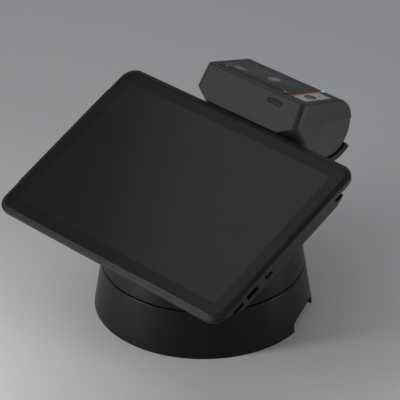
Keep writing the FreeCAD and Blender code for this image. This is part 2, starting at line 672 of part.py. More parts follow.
def make_head():
    cavity = along_x(head_face(-HEAD_WALL), -80, 80).common(between_ends(-HEAD_WALL - END_STEP))
    cavity = cavity.cut(corner_cuts(HEAD_WALL))
    gap_half = ALONG_X * (COVER_HALF_W + GAP)
    hinge_gap = rod(HINGE_R + GAP, HINGE - gap_half, HINGE + gap_half)
    swing_room = box(-gap_half.x, gap_half.x, HINGE.y + 1.75, HINGE.y + 20, HINGE.z - 3.2, HINGE.z + 0.5)
    pin_hole = rod(PIN_R + FIT, HINGE - ALONG_X * (COVER_HALF_W + 3), HINGE + ALONG_X * (COVER_HALF_W + 3))

    slot = head_block(SLOT_AT, COVER_AT + 5, -2, 4, PRINT_X - 37.5, PRINT_X + 37.5)
    upper = head_solid(0).cut(below_split(0)).cut(cavity).cut(cover_region(GAP)).cut(slot)
    upper = upper.cut(hinge_gap).cut(swing_room)
    upper = upper.cut(on_front(BUTTON_X, BUTTON_DOWN, -1, BUTTON_HALF_W + 0.2, BUTTON_HALF_H + 0.2, 6))
    upper = upper.cut(reader_block(SEAT))
    save("head_upper_shell", upper)

    lower = head_solid(-END_STEP).common(below_split(SEAT)).cut(cavity).cut(hinge_gap).cut(swing_room)
    for x in (ROLL_LOW - 2.3, ROLL_HIGH + 0.8):
        guide = along_x(head_face(-HEAD_WALL), x, x + 1.5).common(below_split(SEAT + 1.5))
        guide = guide.cut(box(x - 1, x + 3, 0, ROLL_CENTRE.y - 22, 0, 300))
        lower = lower.fuse(guide.cut(hinge_gap))
    lower = lower.fuse(knuckles(True)).cut(pin_hole)
    save("head_lower_shell", lower)

    skin = head_solid(0).common(cover_region(0)).cut(along_x(head_face(-HEAD_WALL), -80, 80))
    cover = skin.cut(hinge_gap).fuse(knuckles(False)).cut(pin_hole)
    ears = []
    for x in EAR_X:
        ear = rod(3.6, PLATEN + Vector(x, 0, 0), PLATEN + Vector(x + EAR_T, 0, 0))
        stem = [head_point(0, COVER_AT + 0.4, 1), head_point(0, COVER_AT + 9.5, 1),
                head_point(0, COVER_AT + 8.4, 8.5), head_point(0, COVER_AT + 1.5, 8.5)]
        ears.append(ear.fuse(profile(stem, x, x + EAR_T)))
    cover = cover.fuse(ears).cut(rod(SHAFT_R + FIT, PLATEN + Vector(-60, 0, 0), PLATEN + Vector(60, 0, 0)))
    top_skin = head_block(COVER_AT + 1.2, WINDOW_END, -2, WINDOW_T, COVER_LEFT + 0.6, COVER_HALF_W - 0.6)
    cover = cover.cut(top_skin).cut(scanner_well(0)).cut(led_rod(SEAT)).cut(tear_blade())
    save("paper_cover", cover)

    plate = top_skin.common(along_x(head_face(0), -80, 80))
    cuts = (COVER_LEFT, STRIPE_X, STRIPE_X + STRIPE_W, COVER_HALF_W)
    names = ("top_window", "accent_stripe", "scanner_bezel")
    for name, low, high in zip(names, cuts[:-1], cuts[1:]):
        piece = plate.common(box(low, high, TOP_Y - 50, TOP_Y + 90, TOP_Z - 60, TOP_Z + 20))
        if name == "scanner_bezel":
            piece = piece.cut(scanner_well(-0.6)).cut(sensor_rod(SEAT))
        save(name, piece)
    pin_half = ALONG_X * (COVER_HALF_W - 0.5)
    save("hinge_pin", rod(PIN_R, HINGE - pin_half, HINGE + pin_half))


def scanner_well(grow):
    at = head_point(SCANNER_X, SCANNER_AT, -3)
    return rod(5.2 + grow, at, at - TOP_OUT * 12)


def sensor_rod(grow):
    at = head_point(SCANNER_X, SENSOR_AT, 0)
    return rod(0.9 + grow, at, at - TOP_OUT * WINDOW_T)


def led_rod(grow):
    outward = (round_barrel(SHOULDER_R, 62) - BARREL).normalize()
    at = Vector(LED_X, 0, 0) + round_barrel(SHOULDER_R - 1.1, 62)
    return rod(1.3 + grow, at - outward * 3.0, at + outward * (0.2 + 5 * grow))


def tear_blade():
    """A steel strip along the slot's rear edge with a row of teeth that stands just proud."""
    half = 32.0
    pitch = 2.0
    tip = head_point(0, COVER_AT, -0.35)
    base = head_point(0, COVER_AT, 2.2)
    points = [Vector(PRINT_X - half, base.y, base.z)]
    steps = int(2 * half / pitch)
    low = head_point(0, COVER_AT, 0.35)
    for index in range(steps):
        x = PRINT_X - half + index * pitch
        points.append(Vector(x, low.y, low.z))
        points.append(Vector(x + pitch / 2, tip.y, tip.z))
    points.append(Vector(PRINT_X + half, low.y, low.z))
    points.append(Vector(PRINT_X + half, base.y, base.z))
    return Part.Face(Part.makePolygon(points + points[:1])).extrude(REARWARD * 0.7)


def reader_block(grow):
    """The magnetic head behind the swipe groove's rear wall."""
    middle = LOWER_EDGE + GROOVE_DOWN * (SWIPE_DEPTH * 0.52)
    inward = Vector(0, -GROOVE_DOWN.z, GROOVE_DOWN.y)
    corner = Vector(-6 - grow, -2.5 - grow, -grow + 0.1)
    block = Part.makeBox(12 + 2 * grow, 5 + 2 * grow, 6 + 2 * grow, corner)
    block.Placement = FreeCAD.Placement(middle, FreeCAD.Rotation(ALONG_X, GROOVE_DOWN, inward, "ZXY"))
    return block


# ---------------------------------------------------------------- rear housing, ports and keys
def port_block(port, grow, x0, x1):
    middle, half, height = port
    half += grow
    height += grow
    return box(x0, x1, middle - half, middle + half, PORT_OUT - height, PORT_OUT + height)


def side_windows():
    """Openings in the thin shell's side walls behind the ports, the card slot and the keys."""
    low, high = -SHELL_DEPTH + SHELL_WALL - 0.1, -FRAME_DEPTH + 1
    ports = USB_A[0] - USB_A[1] - 1, USB_C[0] + USB_C[1] + 1
    right = box(PORT_FLOOR - 4, OUT_W + 1, *ports, -SHELL_DEPTH - 1, high)
    card = box(-OUT_W - 1, -PORT_FLOOR, -CARD_HALF - 4, CARD_HALF - 1, low, high)
    keys = box(-OUT_W - 1, -PORT_FLOOR, KEYS[1][1] - 6, KEYS[0][1] + 6, low, high)
    return right.fuse(card).fuse(keys)


def make_housing():
    deep, flat = -HOUSING_DEPTH, -SHELL_DEPTH
    outline = [(BAR_LOW - BAR_END_SLOPE, flat), (BAR_LOW - 0.8, deep), (BAR_HIGH + 0.8, deep),
               (BAR_HIGH + BAR_END_SLOPE, flat)]
    body = section(outline, -OUT_W + 0.2, OUT_W - 0.2)
    for side in (-1, 1):
        x0, x1 = sorted((side * NOTCH_X, side * OUT_W))
        body = body.fuse(box(x0, x1, BAR_LOW, BAR_HIGH, deep, -RIM_DROP + 0.4))
    spine_mid = (SPINE_LOW + SPINE_HIGH) / 2
    spine_half = (SPINE_HIGH - SPINE_LOW) / 2
    spine = tapered_slab((SPINE_HALF_W - 4, spine_half - 4, 8, -SPINE_DEPTH, spine_mid),
                         (SPINE_HALF_W, spine_half, 10, flat, spine_mid))
    body = body.fuse(spine)
    hollow = box(-OUT_W + 3, OUT_W - 3, BAR_LOW + 2, BAR_HIGH - 2, deep + 1.8, flat + 1)
    hollow = hollow.fuse(slab(SPINE_HALF_W - 6, spine_half - 6, 6, -SPINE_DEPTH + 2, flat + 1, spine_mid))
    body = body.cut(hollow).cut(slab(NOTCH_X - SEAT, 200, 1, flat, flat + 0.9))
    for port in (USB_A, USB_C):
        body = body.cut(port_block(port, SEAT, NOTCH_X - 2, OUT_W + 1))
    body = body.cut(box(-OUT_W - 1, -NOTCH_X + 1, -CARD_HALF, CARD_HALF - 4, CARD_OUT - 0.7, CARD_OUT + 0.7))
    for _, at, half in KEYS:
        body = body.cut(box(-OUT_W - 1, -NOTCH_X + 1, at - half - 0.2, at + half + 0.2,
                            KEY_OUT - KEY_HALF - 0.2, KEY_OUT + KEY_HALF + 0.2))
    for x in (-DOCK_HALF_W + 6, DOCK_HALF_W - 6):
        for y in (-DOCK_HALF_H + 6, DOCK_HALF_H - 6):
            at = Vector(x, y + DOCK_SHIFT, -SPINE_DEPTH + 1)
            body = body.fuse(rod(4, at, at + Vector(0, 0, 5)))
            body = body.cut(rod(SCREW_R, at - Vector(0, 0, 2), at + Vector(0, 0, 3.2)))
    for x in (-90, 90):
        for y in (-40, 40):
            body = body.fuse(rod(3.5, Vector(x, y, deep + 1), Vector(x, y, flat)))
    body = on_tablet(body)

    low = tablet_point(0, DOCK_SHIFT + DOCK_HALF_H + 2, -SPINE_DEPTH)
    ledge = Vector(0, drum_radius(DRUM_TOP) + 1.5, DRUM_TOP + 1.2)
    lip_low = round_barrel(LIP_R, -94)
    top = tablet_point(0, OUT_H - 2, -SHELL_DEPTH - SEAT)
    groove = GROOVE_FOOT + GROOVE_DOWN * 2.0
    bend = round_barrel(BARREL_R, -125)
    outline = [tablet_point(0, 40, -SHELL_DEPTH - SEAT), top, groove, bend, round_barrel(BARREL_R, -94),
               lip_low, ledge, low]
    cradle = profile(outline, -CRADLE_HALF_W, CRADLE_HALF_W)
    half = ALONG_X * CRADLE_HALF_W
    lip = tube(LIP_R, BARREL_R + CRADLE_GAP, BARREL - half, BARREL + half)
    wedge = [BARREL, round_barrel(90, -128), round_barrel(90, -100), round_barrel(90, LIP_END)]
    lip = lip.common(profile(wedge, -90, 90))
    cradle = cradle.fuse(lip).cut(along_x(head_face(CRADLE_GAP), -90, 90))
    inside = [tablet_point(0, 54, -SHELL_DEPTH - 4), tablet_point(0, OUT_H - 12, -SHELL_DEPTH - 4),
              groove - Vector(0, 1, 5), round_barrel(LIP_R + 1.5, -132), ledge + Vector(0, -3, 3),
              low + Vector(0, 5, 2.6)]
    room = profile(inside, -CRADLE_HALF_W + 3, CRADLE_HALF_W - 3)
    bosses = []
    for x in (-34, 34):
        for turn in (-122, -100):
            across = ALONG_X * x
            inner, outer = round_barrel(BARREL_R - 2, turn), round_barrel(LIP_R - 0.5, turn)
            bosses.append(rod(4.0, across + inner, across + outer))
    cradle = cradle.cut(room).fuse(bosses).cut(along_x(head_face(0), -90, 90))
    save("rear_housing", body.fuse(cradle))


def make_ports():
    usb_a = port_block(USB_A, 0, OUT_W - 11.6, OUT_W - 0.4)
    usb_a = usb_a.cut(port_block(USB_A, -0.4, OUT_W - 10.8, OUT_W + 1))
    tongue = box(OUT_W - 11, OUT_W - 2.5, USB_A[0] - 5.4, USB_A[0] + 5.4, PORT_OUT + 0.1, PORT_OUT + 1.4)
    save("usb_a_socket", on_tablet(usb_a.fuse(tongue)))
    usb_c = port_block(USB_C, 0, OUT_W - 8, OUT_W - 0.4).cut(port_block(USB_C, -0.3, OUT_W - 7, OUT_W + 1))
    tongue = box(OUT_W - 7.5, OUT_W - 1.6, USB_C[0] - 3.0, USB_C[0] + 3.0, PORT_OUT - 0.35, PORT_OUT + 0.35)
    save("usb_c_socket", on_tablet(usb_c.fuse(tongue)))

    reader = box(-NOTCH_X + 0.1, -84, -CARD_HALF - 2, CARD_HALF - 2, CARD_OUT - 1.3, CARD_OUT + 1.2)
    reader = reader.cut(box(-OUT_W, -88, -CARD_HALF + 0.5, CARD_HALF - 4.5, CARD_OUT - 0.45, CARD_OUT + 0.45))
    save("chip_card_reader", on_tablet(reader))

    for name, at, half in KEYS:
        face_x = -OUT_W - KEY_PROUD
        stem = box(face_x, -NOTCH_X + 1.2, at - half, at + half, KEY_OUT - KEY_HALF, KEY_OUT + KEY_HALF)
        flange = box(-NOTCH_X + 0.1, -NOTCH_X + 1.2, at - half - 0.6, at + half + 0.6,
                     KEY_OUT - KEY_HALF, KEY_OUT + KEY_HALF)
        save(name, on_tablet(stem.fuse(flange)))


# ---------------------------------------------------------------- printer
GEAR_LOW = EAR_X[0] - 0.3 - GEAR_WIDTH
GEAR_CENTRES = GEAR_MODULE * (PLATEN_TEETH + PINION_TEETH) / 2 + 0.12
PINION = PLATEN + Vector(0, -0.42, -0.9075).normalize() * GEAR_CENTRES
MOTOR_R = 7.0
MOTOR_LENGTH = 15.0


def gear(teeth, centre, x0, width, bore, first):
    """An involute spur gear about the X axis; first is the angle of a tooth's middle in degrees."""
    pitch_r = GEAR_MODULE * teeth / 2
    base_r = pitch_r * math.cos(math.radians(PRESSURE_ANGLE))
    tip_r = pitch_r + 0.9 * GEAR_MODULE
    root_r = pitch_r - 1.2 * GEAR_MODULE
    thick = math.pi / (2 * teeth) * 0.90

    def involute(radius):
        turn = math.acos(min(1.0, base_r / radius))
        return math.tan(turn) - turn

    def half_angle(radius):
        return thick + involute(pitch_r) - involute(max(radius, base_r))

    flank = [root_r, max(base_r, root_r + 0.05), pitch_r, (pitch_r + tip_r) / 2, tip_r]
    points = []
    for tooth in range(teeth):
        middle = math.radians(first) + 2 * math.pi * tooth / teeth
        rising = [(radius, middle - half_angle(radius)) for radius in flank]
        falling = [(radius, middle + half_angle(radius)) for radius in reversed(flank)]
        points += [(centre.y + r * math.cos(t), centre.z + r * math.sin(t)) for r, t in rising + falling]
    blank = section(points, x0, x0 + width)
    return blank.cut(rod(bore, centre + ALONG_X * (x0 - 1), centre + ALONG_X * (x0 + width + 1)))


def make_printer():
    toward = math.degrees(math.atan2(PINION.z - PLATEN.z, PINION.y - PLATEN.y))
    shaft = rod(SHAFT_R, PLATEN + ALONG_X * GEAR_LOW, PLATEN + ALONG_X * (EAR_X[1] + EAR_T + 1.0))
    roller = tube(PLATEN_R, SHAFT_R, PLATEN + ALONG_X * PLATEN_LOW, PLATEN + ALONG_X * PLATEN_HIGH)
    save("platen_shaft", shaft)
    save("platen_roller", roller)
    save("platen_gear", gear(PLATEN_TEETH, PLATEN, GEAR_LOW, GEAR_WIDTH, SHAFT_R, toward))
    gap_turn = toward + 180 + 180.0 / PINION_TEETH
    save("motor_pinion", gear(PINION_TEETH, PINION, GEAR_LOW, GEAR_WIDTH, 1.0, gap_turn))
    motor_x = GEAR_LOW + GEAR_WIDTH + 1.6
    motor = rod(MOTOR_R, PINION + ALONG_X * motor_x, PINION + ALONG_X * (motor_x + MOTOR_LENGTH))
    save("feed_motor", motor.cut(rod(1.0 + FIT, PINION - ALONG_X * 60, PINION + ALONG_X * (motor_x + 4))))
    save("motor_shaft", rod(1.0, PINION + ALONG_X * GEAR_LOW, PINION + ALONG_X * (motor_x + 3.5)))

    core = tube(CORE_R, CORE_BORE_R, ROLL_CENTRE + ALONG_X * ROLL_LOW, ROLL_CENTRE + ALONG_X * ROLL_HIGH)
    paper = tube(ROLL_R, CORE_R, ROLL_CENTRE + ALONG_X * ROLL_LOW, ROLL_CENTRE + ALONG_X * ROLL_HIGH)
    save("paper_core", core)
    save("paper_roll", paper)

    save("print_head", head_block(COVER_AT - 2.3, COVER_AT - 0.3, 4.5, 13.5, PLATEN_LOW, PLATEN_HIGH))
    inner = along_x(head_face(-HEAD_WALL), -80, 80).common(between_ends(-HEAD_WALL))
    inner = inner.cut(corner_cuts(HEAD_WALL + SEAT))
    springs = []
    for x in (PRINT_X - 16, PRINT_X + 16):
        start = head_point(x, COVER_AT - 2.3, 10.5)
        springs.append(tube(2.2, 1.4, start - REARWARD * 8, start).common(inner))
    save("print_head_springs", Part.Compound(springs))

    bed_top = PINION.z - MOTOR_R * 0.55
    bed_rear = ROLL_CENTRE.y - ROLL_R - 3.5
    wall_x = motor_x - 1.5
    bed = inner.common(box(wall_x, PLATEN_HIGH, TOP_Y - 40, bed_rear, 0, bed_top))
    wall = rod(MOTOR_R + 1.2, PINION + ALONG_X * wall_x, PINION + ALONG_X * (wall_x + 1.4))
    wall = wall.fuse(box(wall_x, wall_x + 1.4, PINION.y - MOTOR_R - 1.2, bed_rear,
                         GROOVE_FOOT.z - 10, PINION.z))
    bed = bed.fuse(wall.common(inner)).cut(
        rod(MOTOR_R + SEAT, PINION + ALONG_X * motor_x, PINION + ALONG_X * (motor_x + MOTOR_LENGTH + 0.5)))
    bed = bed.cut(rod(2.6, PINION - ALONG_X * 60, PINION + ALONG_X * 60)).cut(reader_block(SEAT))
    for x in (PRINT_X - 8, PRINT_X + 24):
        foot = head_point(x, COVER_AT - 1.3, 13.5)
        post = box(x - 1.5, x + 1.5, foot.y - 1.0, foot.y + 0.6, bed_top - 2, foot.z + 3)
        post = post.common(half_space(head_point(0, 0, 13.5), TOP_OUT * -1))
        bed = bed.fuse(post)
    save("printer_chassis", bed)
    save("swipe_reader", reader_block(0))


def make_cover_parts():
    save("tear_bar", tear_blade())
    module = rod(5.1, head_point(SCANNER_X, SCANNER_AT, 1.2), head_point(SCANNER_X, SCANNER_AT, 2.4))
    body = head_block(SCANNER_AT - 5.6, SCANNER_AT + 5.6, 2.4, 8.5, SCANNER_X - 5.6, SCANNER_X + 5.6)
    save("scanner_module", module.fuse(body))
    glass_top = head_point(SCANNER_X, SCANNER_AT, 0.15)
    save("scanner_window", rod(4.5, glass_top, head_point(SCANNER_X, SCANNER_AT, 1.2)))
    save("light_sensor", sensor_rod(0))
    save("status_light", led_rod(0))
    save("contactless_antenna", head_block(20, 38, 2.4, 3.4, PRINT_X - 30, PRINT_X + 30))


def make_button():
    cap = on_front(BUTTON_X, BUTTON_DOWN, -0.25, BUTTON_HALF_W, BUTTON_HALF_H, HEAD_WALL + 0.45)
    deep = HEAD_WALL + 0.2
    flange = on_front(BUTTON_X, BUTTON_DOWN, deep, BUTTON_HALF_W + 1.0, BUTTON_HALF_H + 1.0, 1.0)
    save("release_button", cap.fuse(flange))


make_base()
make_stand()
make_tablet()
make_head()
make_housing()
make_ports()
make_printer()
make_cover_parts()
make_button()
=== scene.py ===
# %% [markdown]
# # A card payment terminal on a swivelling pedestal
# The mechanical parts arrive from the CAD model with their sizes and joints already right.
# This lesson gives them their finishes, models the pieces a buyer looks at closely, and sets up
# a plain studio around the terminal. Everything is in metres, with +Z up and the operator at -Y.

# %% Load the terminal
import json
import math
import bmesh
import bpy
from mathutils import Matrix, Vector


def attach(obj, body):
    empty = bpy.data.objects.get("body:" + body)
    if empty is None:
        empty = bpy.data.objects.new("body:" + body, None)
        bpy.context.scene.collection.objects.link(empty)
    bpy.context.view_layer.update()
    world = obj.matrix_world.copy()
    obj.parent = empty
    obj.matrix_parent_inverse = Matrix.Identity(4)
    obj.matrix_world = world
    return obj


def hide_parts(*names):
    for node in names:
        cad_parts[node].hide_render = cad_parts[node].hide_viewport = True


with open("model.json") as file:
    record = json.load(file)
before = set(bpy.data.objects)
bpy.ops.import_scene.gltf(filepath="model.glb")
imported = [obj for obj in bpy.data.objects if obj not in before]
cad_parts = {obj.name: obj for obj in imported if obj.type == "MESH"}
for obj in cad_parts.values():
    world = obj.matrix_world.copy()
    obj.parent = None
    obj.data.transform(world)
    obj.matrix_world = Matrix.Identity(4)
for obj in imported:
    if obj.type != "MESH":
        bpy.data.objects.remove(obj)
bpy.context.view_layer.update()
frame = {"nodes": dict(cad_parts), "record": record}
nodes = frame["nodes"]
print("pieces loaded:", len(nodes))

# %% [markdown]
# ## Where things are
# Three working planes are used again and again: the tablet's tilted glass, the head's sloping
# top panel and the head's front face. Each is a point and a turn about the X axis, so a piece
# can be modelled flat at the world's origin and then set down on its plane in one move.

# %% The three working planes
MM = 0.001
HEAD_FRONT_Y, HEAD_FRONT_Z = 56.466, 173.506
PANEL_TURN = math.radians(-15.5)
HEAD_FRONT = Vector((0, HEAD_FRONT_Y, HEAD_FRONT_Z)) * MM
GLASS_PLANE = (Vector((0, -35.12, 116.55)) * MM, math.radians(25.2))
TOP_PANEL = (HEAD_FRONT, PANEL_TURN)
FRONT_FACE = (HEAD_FRONT, math.radians(57.4))
print("glass tilt:", round(math.degrees(GLASS_PLANE[1]), 1), "degrees")

# %% [markdown]
# ## Camera
# The terminal is seen from the operator's right-hand front, from above, through a long lens.
# A long lens keeps the two ends of the tablet nearly the same size, as in a shop catalogue.

# %% Camera
AZIMUTH, ELEVATION = math.radians(45.11), math.radians(29.96)
DISTANCE, FOCAL_LENGTH, SENSOR_WIDTH = 1.87626, 216, 36
AIM_HEIGHT, AIM_LEFT, AIM_UP = 0.090, 0.00249, 0.00115
back = Vector((math.sin(AZIMUTH) * math.cos(ELEVATION), -math.cos(AZIMUTH) * math.cos(ELEVATION),
               math.sin(ELEVATION)))
right = Vector((math.cos(AZIMUTH), math.sin(AZIMUTH), 0))
up = back.cross(right)
target = Vector((0, 0, AIM_HEIGHT)) - right * AIM_LEFT + up * AIM_UP
lens = bpy.data.cameras.new("catalogue_camera")
lens.sensor_width, lens.lens, lens.clip_end = SENSOR_WIDTH, FOCAL_LENGTH, 20
camera = bpy.data.objects.new("catalogue_camera", lens)
bpy.context.scene.collection.objects.link(camera)
camera.location = target + back * DISTANCE
camera.rotation_euler = back.to_track_quat("Z", "Y").to_euler()
bpy.context.scene.camera = camera
bpy.context.scene.view_settings.view_transform = "Standard"
print("camera at", [round(value, 3) for value in camera.location])

# %% [markdown]
# ## Floor and light
# Black plastic shows its shape almost only by what it reflects. A key panel lights the front, a
# weaker one the rear, and a large dim card overhead lays a slow gradient over the glass. Two
# small upright strips stand low beside the pedestal, for the highlights on its round wall. They
# are weak here, because a strip strong enough for bright highlights also whitens the floor.

# %% Node helpers for every finish
def add_node(tree, kind, **values):
    """A shader node with some of its sockets or settings already filled in."""
    made = tree.nodes.new(kind)
    for name, value in values.items():
        if name in made.inputs:
            made.inputs[name].default_value = value
        else:
            setattr(made, name, value)
    return made


def new_material(name):
    material = bpy.data.materials.new(name)
    material.use_nodes = True
    return material, material.node_tree, material.node_tree.nodes["Principled BSDF"]


# %% Floor
bpy.ops.object.select_all(action="DESELECT")
bpy.ops.mesh.primitive_plane_add(size=8)
floor = bpy.context.object
floor.name = "studio_floor"
floor_paint, tree, shader = new_material("studio_floor_paint")
shader.inputs["Base Color"].default_value = (0.64, 0.64, 0.64, 1)
shader.inputs["Roughness"].default_value = 0.9
shader.inputs["Specular IOR Level"].default_value = 0.1
floor.data.materials.append(floor_paint)
print("floor laid")

# %% Lamps and sky
def soft_lamp(name, place, aim, width, height, power):
    """A rectangular soft lamp that faces a point."""
    light = bpy.data.lights.new(name, "AREA")
    light.shape, light.size, light.size_y, light.energy = "RECTANGLE", width, height, power
    lamp = bpy.data.objects.new(name, light)
    bpy.context.scene.collection.objects.link(lamp)
    lamp.location = place
    lamp.rotation_euler = (Vector(place) - Vector(aim)).to_track_quat("Z", "Y").to_euler()


soft_lamp("glass_card", (-0.46, -0.16, 1.46), (0, -0.02, 0.1), 1.0, 1.0, 1.3)
soft_lamp("key_panel", (-1.1, -2.0, 1.5), (0, 0, 0.1), 1.0, 0.9, 12)
soft_lamp("rear_panel", (-0.9, 1.9, 1.4), (0, 0, 0.1), 1.2, 0.7, 3.5)
soft_lamp("left_strip", (-0.160, -0.417, 0.13), (0, 0, 0.03), 0.09, 0.24, 1.1)
soft_lamp("right_strip", (0.400, 0.240, 0.10), (0, 0, 0.03), 0.09, 0.18, 0.5)
sky = bpy.data.worlds.new("studio_sky")
sky.use_nodes = True
sky.node_tree.nodes["Background"].inputs["Color"].default_value = (0.9, 0.93, 1.0, 1)
sky.node_tree.nodes["Background"].inputs["Strength"].default_value = 0.22
bpy.context.scene.world = sky

# %% [markdown]
# ## Finishes
# Moulded plastic is never flat: the mould was spark-eroded, so the surface carries a fine
# grain, its shine drifts a little from place to place, and edges turn slightly paler and
# smoother. The paler band along the edges is partly scuffing from handling and partly a
# painted highlight. One helper builds all of that from three noise patterns and a bevel test.

# %% Moulded plastic
def moulded_plastic(name, colour, roughness, grain=0.35, grain_depth=0.02, wear_and_highlight=0.35, specular=0.4,
                    rim=0.5):
    """Spark-eroded plastic; grain, its depth and the pale rim's width are in millimetres. The pale rim is
    partly scuffing from handling and partly a painted highlight.
    """
    material, tree, shader = new_material(name)
    place = add_node(tree, "ShaderNodeTexCoord").outputs["Object"]
    fine = add_node(tree, "ShaderNodeTexNoise", Scale=1000 / grain, Detail=2.0)
    drift = add_node(tree, "ShaderNodeTexNoise", Scale=28.0, Detail=3.0)
    smudge = add_node(tree, "ShaderNodeTexNoise", Scale=95.0, Detail=4.0, Roughness=0.6)
    for pattern in (fine, drift, smudge):
        tree.links.new(place, pattern.inputs["Vector"])
    rounded = add_node(tree, "ShaderNodeBevel", samples=4, Radius=rim * MM)
    flat = add_node(tree, "ShaderNodeNewGeometry")
    facing = add_node(tree, "ShaderNodeVectorMath", operation="DOT_PRODUCT")
    tree.links.new(rounded.outputs["Normal"], facing.inputs[0])
    tree.links.new(flat.outputs["Normal"], facing.inputs[1])
    edge = add_node(tree, "ShaderNodeMapRange")
    edge.inputs["From Min"].default_value = 0.985
    edge.inputs["From Max"].default_value = 0.80
    tree.links.new(facing.outputs["Value"], edge.inputs["Value"])
    # Edge mask, broken up by the smudge noise: it paints the paler edges, partly scuffing from handling
    # and partly a painted highlight.
    wear_and_highlight_mask = add_node(tree, "ShaderNodeMath", operation="MULTIPLY")
    tree.links.new(edge.outputs["Result"], wear_and_highlight_mask.inputs[0])
    tree.links.new(smudge.outputs["Fac"], wear_and_highlight_mask.inputs[1])
    shade = add_node(tree, "ShaderNodeMix", data_type="RGBA")
    shade.inputs["A"].default_value = (*[value * 0.86 for value in colour], 1)
    shade.inputs["B"].default_value = (*[min(1, value * 1.16) for value in colour], 1)
    tree.links.new(drift.outputs["Fac"], shade.inputs["Factor"])
    worn_and_highlit = add_node(tree, "ShaderNodeMix", data_type="RGBA")
    pale = [min(1, value * (1 + 2 * wear_and_highlight) + 0.03 * wear_and_highlight) for value in colour]
    worn_and_highlit.inputs["B"].default_value = (*pale, 1)
    tree.links.new(wear_and_highlight_mask.outputs["Value"], worn_and_highlit.inputs["Factor"])
    tree.links.new(shade.outputs["Result"], worn_and_highlit.inputs["A"])
    tree.links.new(worn_and_highlit.outputs["Result"], shader.inputs["Base Color"])
    shine = add_node(tree, "ShaderNodeMapRange")
    shine.inputs["To Min"].default_value = roughness - 0.07
    shine.inputs["To Max"].default_value = roughness + 0.07
    tree.links.new(smudge.outputs["Fac"], shine.inputs["Value"])
    tree.links.new(shine.outputs["Result"], shader.inputs["Roughness"])
    texture = add_node(tree, "ShaderNodeBump", Strength=0.6, Distance=grain_depth * MM)
    tree.links.new(fine.outputs["Fac"], texture.inputs["Height"])
    tree.links.new(rounded.outputs["Normal"], texture.inputs["Normal"])
    tree.links.new(texture.outputs["Normal"], shader.inputs["Normal"])
    shader.inputs["Specular IOR Level"].default_value = specular
    return material


# %% Metal and paper finishes
def machined_metal(name, colour, roughness, stretch=(40, 900, 900)):
    """Metal with fine straight tool marks along X."""
    material, tree, shader = new_material(name)
    place = add_node(tree, "ShaderNodeTexCoord").outputs["Object"]
    lay = add_node(tree, "ShaderNodeMapping", Scale=stretch)
    marks = add_node(tree, "ShaderNodeTexNoise", Scale=3.0, Detail=4.0)
    tree.links.new(place, lay.inputs["Vector"])
    tree.links.new(lay.outputs["Vector"], marks.inputs["Vector"])
    tone = add_node(tree, "ShaderNodeMix", data_type="RGBA")
    tone.inputs["A"].default_value = (*[value * 0.8 for value in colour], 1)
    tone.inputs["B"].default_value = (*[min(1, value * 1.12) for value in colour], 1)
    tree.links.new(marks.outputs["Fac"], tone.inputs["Factor"])
    tree.links.new(tone.outputs["Result"], shader.inputs["Base Color"])
    shine = add_node(tree, "ShaderNodeMapRange")
    shine.inputs["To Min"].default_value = roughness - 0.08
    shine.inputs["To Max"].default_value = roughness + 0.12
    tree.links.new(marks.outputs["Fac"], shine.inputs["Value"])
    tree.links.new(shine.outputs["Result"], shader.inputs["Roughness"])
    texture = add_node(tree, "ShaderNodeBump", Strength=0.4, Distance=0.01 * MM)
    tree.links.new(marks.outputs["Fac"], texture.inputs["Height"])
    tree.links.new(texture.outputs["Normal"], shader.inputs["Normal"])
    shader.inputs["Metallic"].default_value = 1.0
    return material


def polished(name, colour, roughness, coat=0.5, specular=0.5):
    """A smooth glossy skin with faint wipe marks in its shine."""
    material, tree, shader = new_material(name)
    place = add_node(tree, "ShaderNodeTexCoord").outputs["Object"]
    wipe = add_node(tree, "ShaderNodeTexNoise", Scale=45.0, Detail=5.0, Roughness=0.65)
    tree.links.new(place, wipe.inputs["Vector"])
    tone = add_node(tree, "ShaderNodeMix", data_type="RGBA")
    tone.inputs["A"].default_value = (*[value * 0.93 for value in colour], 1)
    tone.inputs["B"].default_value = (*[min(1, value * 1.07) for value in colour], 1)
    tree.links.new(wipe.outputs["Fac"], tone.inputs["Factor"])
    tree.links.new(tone.outputs["Result"], shader.inputs["Base Color"])
    shine = add_node(tree, "ShaderNodeMapRange")
    shine.inputs["To Min"].default_value = max(0.02, roughness - 0.04)
    shine.inputs["To Max"].default_value = roughness + 0.05
    tree.links.new(wipe.outputs["Fac"], shine.inputs["Value"])
    tree.links.new(shine.outputs["Result"], shader.inputs["Roughness"])
    shader.inputs["Coat Weight"].default_value = coat
    shader.inputs["Coat Roughness"].default_value = 0.05
    shader.inputs["Specular IOR Level"].default_value = specular
    return material


# %% [markdown]
# ### One finish for each material slot
# The record names a slot for every piece. Making one finish per slot keeps the terminal
# consistent: every steel screw is the same steel, and both drums are the same black.

